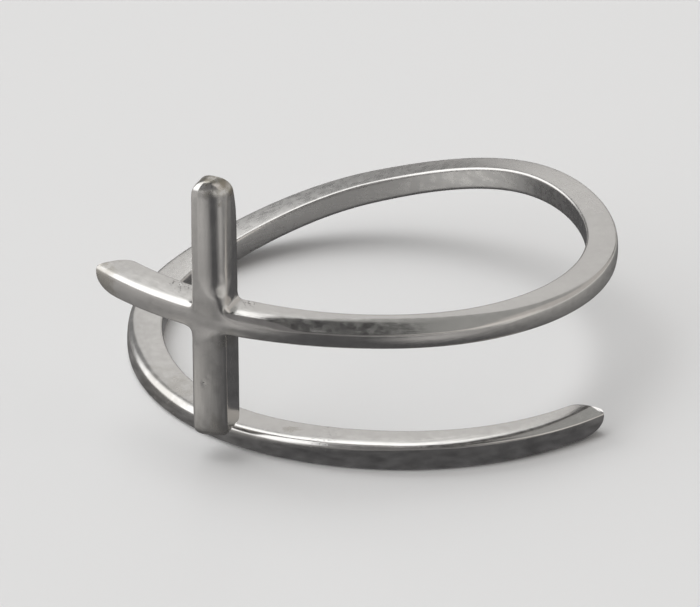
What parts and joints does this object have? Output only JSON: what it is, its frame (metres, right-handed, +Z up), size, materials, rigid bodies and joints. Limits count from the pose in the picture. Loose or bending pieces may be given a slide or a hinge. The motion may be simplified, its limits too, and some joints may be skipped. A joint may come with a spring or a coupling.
{
  "type": "adjustable wrap ring with a cross",
  "caption": "Adjustable finger ring: a thin silver band that wraps past itself with free tips, crossed near its upper end by an upright bar that makes a cross.",
  "frame": {"origin": "middle of the ring's box, on the surface that it lies on", "axes": "+Z up, along the finger's axis; +X to the right and +Y away as the picture shows it, with the cross at the front left"},
  "size_m": [0.02, 0.02, 0.0117],
  "materials": {
    "silver": "hand-polished silver with a satin bloom, worn edges, fine scratches and a few casting pits"
  },
  "bodies": {
    "root": {"cross_ring": "silver"}
  },
  "joints": []
}
